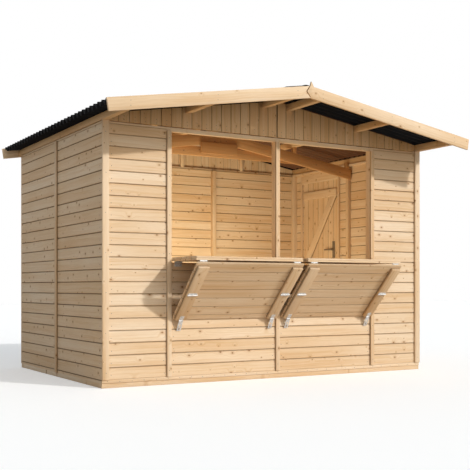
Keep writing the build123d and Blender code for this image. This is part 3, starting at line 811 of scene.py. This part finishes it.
# Ledges and braces of the door, cut apart, with painted shade on the lower edge of each brace against the
# boards
bracing = solids_of("door_bracing")[0]
cut_heights = sorted(ledge_heights + tuple(low + ledge_width for low in ledge_heights))
timbers = []
for low, high in zip(cut_heights, cut_heights[1:]):
    timber = copied(bracing, "door_bracing.timber")
    sawn(timber, (0, 0, low + board_gap), -Z)
    sawn(timber, (0, 0, high - board_gap), Z)
    rounded(timber, edge_round)
    # A long brace gets painted shade along its lower edge where it meets the boards
    if high - low > 2 * ledge_width:
        boards_at = span(timber)[1].x - 2 * edge_round
        foot = mean_y(timber, low + 3 * edge_round, -Z)
        head = mean_y(timber, high - 3 * edge_round, Z)
        lean = (head - foot) / (high - low)
        painted_shade_marked(timber, lambda co: co.x > boards_at and co.y < foot + (co.z - low) * lean)
    timbers.append(timber)
thrown_away(bracing)
piece = joined("door_bracing.planed", timbers)
grained(piece, seed=14)
finished(piece, ["door_bracing"], "door", spruce)

# Frame, strips and roof timber
stall_timbers = (
    "floor_bearers",
    "floor_joists",
    "corner_posts",
    "front_posts",
    "front_sill_rails",
    "front_head_rail",
    "front_cover_strips",
    "front_base_strip",
    "side_top_plates",
    "wall_studs",
    "side_cover_strips",
    "door_jambs",
    "door_head",
    "back_head_rail",
    "back_cover_strips",
    "eave_purlins",
    "mid_purlins",
    "ridge_purlins",
    "truss_rafters",
    "truss_tie",
    "truss_gusset",
    "truss_blocks",
    "gable_posts",
    "front_bargeboards",
    "rear_bargeboards",
)
timber_woods = {
    # Purlins in the warm wood, as painted warm bounced light and shade
    "eave_purlins": warm_bounce_spruce,
    "mid_purlins": warm_bounce_spruce,
    "ridge_purlins": warm_bounce_spruce,
    # Truss timbers in the shaded ruddy wood, as painted shade
    "truss_rafters": shaded_ruddy_spruce,
    "truss_tie": shaded_ruddy_spruce,
    "truss_gusset": shaded_ruddy_spruce,
    "truss_blocks": shaded_ruddy_spruce,
}
trims = {
    "front_head_rail": [((0, 0, head_rail_top - head_gap), Z)],
    "front_bargeboards": [((0, barge_recess - barge_face, 0), -Y)],
    "rear_bargeboards": [((0, barge_face - barge_recess, 0), Y)],
}
# Painted shade along the edge where each of these timbers meets what it is nailed on
nailed_on = {
    "front_cover_strips": lambda corner: Y if abs(corner.x) < corner_strip_x else None,
    "side_cover_strips": lambda corner: X if corner.x < 0 else -X,
    "back_cover_strips": lambda corner: -Y if abs(corner.x) < corner_strip_x else None,
    "back_head_rail": lambda corner: -Z,
}
for seed, node_name in enumerate(stall_timbers, 20):
    planed_timber(
        node_name,
        "stall",
        seed,
        cuts=trims.get(node_name, ()),
        wood=timber_woods.get(node_name, spruce),
        against=nailed_on.get(node_name),
    )

# Lath under the door head that the door shuts against
door_stop = started_block("door_stop", door_stop_low, door_stop_high)
eased(door_stop, lambda co: co.x < door_stop_high.x and co.z < door_stop_high.z, edge_round, segments=2)
rounded(door_stop, edge_round / 2)
grained(door_stop, seed=50)
finished(door_stop, None, "stall", spruce)

# Lath behind the middle joint of the front gable
lath_low, lath_high = span(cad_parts["front_gable"])
gable_lath = started_block(
    "gable_lath",
    Vector((-lath_width / 2, lath_high.y, lath_low.z)),
    Vector((lath_width / 2, lath_high.y + lath_thickness, lath_high.z - lath_width)),
)
eased(gable_lath, lambda co: co.y > lath_high.y + lath_thickness / 2, edge_round, segments=2)
rounded(gable_lath, edge_round / 2)
grained(gable_lath, seed=51)
finished(gable_lath, None, "stall", spruce)

# Counters and their support leaves
for seed, side in enumerate(("left", "right"), 60):
    under = solids_of(side + "_counter_boards")[0]
    reach = span(under)[1].y - span(under)[0].y
    piece = shiplap_over(under, Z, -Y, fold_joint - reach - rebate_height)
    front = span(piece)[0].y
    # No painted shade at the front edge of the counter boards, and the front's painted joint shade
    # elsewhere
    painted_shade_retoned(piece, lambda co, dark: 0.0 if co.y < front + 2 * rebate_height else dark * front_joint_shade)
    piece.name = side + "_counter_boards.shiplap"
    grained(piece, seed, X)
    finished(piece, [side + "_counter_boards"], side + "_counter", spruce)
    top = side + "_counter_top"
    upright_or_flat_boards(top, side + "_counter", seed + 2, across=Y, pitch=counter_pitch, along=X)
    leaf = solids_of(side + "_support_boards")[0]
    down, through = leaf_axes(leaf)
    piece = shiplap_over(leaf, through, down, fold_joint + leaf_joint_shift)
    painted_shade_retoned(piece, lambda co, dark: dark * front_joint_shade)
    piece.name = side + "_support_boards.shiplap"
    grained(piece, seed + 4, X)
    finished(piece, [side + "_support_boards"], side + "_support", spruce)
    battens = side + "_support_battens"
    # The battens get painted shade along the edge that meets the leaf
    planed_timber(battens, side + "_support", seed + 6, against=lambda corner: -through)


def round_head(name, radius, height, rim):
    """A round head with an eased rim, standing on the origin."""
    bpy.ops.object.select_all(action="DESELECT")
    middle = (0, 0, height / 2)
    bpy.ops.mesh.primitive_cylinder_add(vertices=head_sides, radius=radius, depth=height, location=middle)
    bpy.ops.object.transform_apply(location=True, rotation=True, scale=True)
    head = bpy.context.object
    head.name = name
    eased(head, lambda co: co.z > height / 2, rim, segments=2)
    return head


def row_of(head, start, out, step, count, seed=0):
    """Heads set along a line on a face, each a little out of line."""
    row = copied(head, head.name + ".row")
    turned = out.to_track_quat("Z", "Y").to_matrix().to_4x4()
    row.data.transform(Matrix.Translation(Vector(start)) @ turned)
    if count > 1:
        repeated(row, step, count)
    if seed:
        chance = random.Random(seed)
        head_of = islands(row.data)
        strays = []
        for _ in range(count):
            loose = Vector([chance.uniform(-unevenness, unevenness) for _ in range(3)])
            strays.append(loose - out * loose.dot(out))
        for corner, which in zip(row.data.vertices, head_of):
            corner.co += strays[which]
    return row


nail = round_head("nail", nail_radius, nail_height, nail_radius / 3)
screw = round_head("screw", screw_radius, screw_height, screw_radius / 3)
roof_cap = round_head("roof_cap", cap_radius, cap_height, cap_radius / 2)


def barge_nails(face_y, out):
    """Pairs of nails through a pair of bargeboards into the ends of the purlins."""
    rows = []
    for place in purlin_places:
        for side in (-1, 1):
            top = roof_apex + barge_lift - roof_slope * place - barge_nail_drop
            start = (side * place, face_y, top)
            seed = int(place * barge_seeds_a_metre)
            rows.append(row_of(nail, start, out, barge_nail_step, count=2, seed=seed))
    return rows


def board_nails(columns, out, count):
    """Columns of nails, one nail to each board of a wall."""
    rows = []
    for seed, (x, y) in enumerate(columns, 1):
        start = Vector((x, y, first_joint + nail_rise)) - out * nail_sink
        rows.append(row_of(nail, start, out, (0, 0, shiplap_pitch), count, seed))
    return rows


# Nails of the walls
front_rows = board_nails([(x, front_y) for x in end_panel_columns], -Y, wall_rows)
front_rows += board_nails([(x, front_y) for x in apron_columns], -Y, apron_rows)
side_rows = board_nails([(-side_x, y) for y in left_wall_columns], -X, wall_rows)
side_rows += board_nails([(side_x, y) for y in right_wall_columns], X, wall_rows)
back_rows = board_nails([(x, back_y) for x in back_wall_columns], Y, wall_rows)

# Nails of the cover strips and the base strip
strip_face = strip_thickness - nail_sink
strip_rows = []
for seed, x in enumerate(front_strip_places, 70):
    start = (x, front_y - strip_face, strip_foot)
    strip_rows.append(row_of(nail, start, -Y, strip_nail_step, strip_nail_count, seed))
for seed, x in enumerate(back_strip_places, 80):
    start = (x, back_y + strip_face, strip_foot)
    strip_rows.append(row_of(nail, start, Y, strip_nail_step, strip_nail_count, seed))
for seed, side in enumerate((-1, 1), 90):
    start = (side * (side_x + strip_face), middle_y, strip_foot)
    strip_rows.append(row_of(nail, start, X * side, strip_nail_step, strip_nail_count, seed))
start = (base_nail_start, front_y - base_strip_thickness + nail_sink, base_nail_height)
strip_rows.append(row_of(nail, start, -Y, base_nail_step, base_nail_count, seed=95))

# Nails of the gables and bargeboards
gable_rows = []
for seed, (gable, out) in enumerate((("front_gable", -Y), ("back_gable", Y)), 100):
    low, high = span(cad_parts[gable])
    count = round((high.x - low.x) / gable_pitch)
    step = (high.x - low.x) / count
    face_y = low.y if out.y < 0 else high.y
    for rise in gable_nail_rises:
        start = Vector((low.x + step / 2, face_y, head_rail_top + rise)) - out * nail_sink
        gable_rows.append(row_of(nail, start, out, (step, 0, 0), count, seed))
barge_nail_face = barge_face - barge_recess - nail_sink
barge_rows = barge_nails(-barge_nail_face, -Y) + barge_nails(barge_nail_face, Y)

nailed = (
    ("front_nails", front_rows),
    ("side_nails", side_rows),
    ("back_nails", back_rows),
    ("strip_nails", strip_rows),
    ("gable_nails", gable_rows),
    ("barge_nails", barge_rows),
)
for name, rows in nailed:
    finished(joined(name, rows), None, "stall", nail_steel)

# Nails of the door's ledges and screws of its straps
door_rows = []
for low in ledge_heights:
    for share in door_nail_shares:
        start = (side_x - nail_sink, door_nail_start, low + share * ledge_width)
        door_rows.append(row_of(nail, start, X, door_nail_step, door_nail_count, seed=110))
for height in strap_heights:
    start = (side_x + strap_face, strap_screw_start, height)
    door_rows.append(row_of(screw, start, X, strap_screw_step, strap_screw_count))
finished(joined("door_nails", door_rows), None, "door", nail_steel)

# Caps of the roof sheets
wave_pitch = sheet_run / wave_count
first_cap = wave_pitch / 4 - sheet_run / 2 + wave_pitch
crest_lift = crest_height / math.cos(roof_pitch)
cap_rows = []
for x in cap_places:
    for side in (-1, 1):
        out = Vector((side * roof_slope, 0, 1)).normalized()
        lift = crest_lift + (ridge_cap_lift if x < ridge_cap_reach else 0)
        start = (side * x, first_cap, roof_apex + lift - roof_slope * x - cap_sink)
        cap_rows.append(row_of(roof_cap, start, out, (0, 2 * wave_pitch, 0), caps_in_row))
finished(joined("roof_caps", cap_rows), None, "stall", bitumen)
for head in (nail, screw, roof_cap):
    thrown_away(head)

# Ironwork and roof covering keep the frame's own shapes
iron_nodes = [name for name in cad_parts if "hinge" in name or "fitting" in name or "strap" in name]
# The door handle takes the dark steel with its painted shade and reflection
for node_name in iron_nodes + ["door_handle"]:
    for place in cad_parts[node_name].material_slots:
        place.material = shaded_handle_steel if node_name == "door_handle" else zinc
for node_name in ("roof_sheet_left", "roof_sheet_right", "ridge_cap"):
    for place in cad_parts[node_name].material_slots:
        place.material = bitumen

# Pale floor that keeps the shadow of the stall and reads as white
bpy.ops.object.select_all(action="DESELECT")
bpy.ops.mesh.primitive_plane_add(size=floor_size, location=(0, 0, -floor_drop))
bpy.ops.object.transform_apply(location=True, rotation=True, scale=True)
floor = bpy.context.object
floor.name = "floor"
floor_paint, tree, shader = new_material("pale_floor")
shader.inputs["Roughness"].default_value = floor_roughness
seen = seen_directly(tree)
paint = blended(tree, seen, floor_bounce, floor_seen)
tree.links.new(paint, shader.inputs["Base Color"])
glow = node(tree, "ShaderNodeEmission", {"Strength": math_node(tree, "MULTIPLY", seen, floor_lift)})
both = node(tree, "ShaderNodeAddShader", {0: shader.outputs[0], 1: glow.outputs[0]})
tree.links.new(both.outputs[0], tree.nodes["Material Output"].inputs["Surface"])
floor.data.materials.append(floor_paint)

# Soft white surroundings
world = bpy.data.worlds.new("studio")
scene.world = world
world.use_nodes = True
tree = world.node_tree
ambient = tree.nodes["Background"]
ambient.inputs["Color"].default_value = sky_colour
ambient.inputs["Strength"].default_value = sky_strength
white = node(tree, "ShaderNodeBackground", {"Color": backdrop_colour, "Strength": backdrop_strength})
surfaces = {0: seen_directly(tree), 1: ambient.outputs[0], 2: white.outputs[0]}
shown = node(tree, "ShaderNodeMixShader", surfaces)
tree.links.new(shown.outputs[0], tree.nodes["World Output"].inputs["Surface"])


def hung(light, direction):
    """Puts a lamp in the scene, shining along a direction."""
    lamp = bpy.data.objects.new(light.name, light)
    scene.collection.objects.link(lamp)
    lamp.rotation_euler = direction.to_track_quat("-Z", "Y").to_euler()
    return lamp


def far_lamp(name, strength, colour, softness, direction):
    """A lamp so far away that its light comes from one side."""
    light = bpy.data.lights.new(name, "SUN")
    light.energy = strength
    light.color = colour
    light.angle = math.radians(softness)
    return hung(light, direction)


# Main lamp from the front right, and a broad soft one from the front
far_lamp("main_lamp", lamp_strength, lamp_colour, lamp_softness, lamp_direction)
far_lamp("fill_lamp", fill_strength, fill_colour, fill_softness, fill_direction)

# Warm light in the room, as the sunlit floor throws it up
room_light = bpy.data.lights.new("room_lamp", "AREA")
room_light.shape = "RECTANGLE"
room_light.size, room_light.size_y = room_lamp_size
room_light.energy = room_lamp_power
room_light.color = room_lamp_colour
room_lamp = hung(room_light, room_lamp_direction)
room_lamp.location = room_lamp_place
room_lamp.visible_camera = False
room_lamp.visible_glossy = False

# Camera
camera = bpy.data.cameras.new("camera")
camera.lens = camera_lens
camera.sensor_width = camera_sensor
camera.shift_y = camera_shift
camera_object = bpy.data.objects.new("camera", camera)
scene.collection.objects.link(camera_object)
camera_object.location = camera_place
camera_object.rotation_euler = (math.radians(camera_tilt), 0, math.radians(camera_turn))
scene.camera = camera_object
scene.view_settings.view_transform = "Standard"
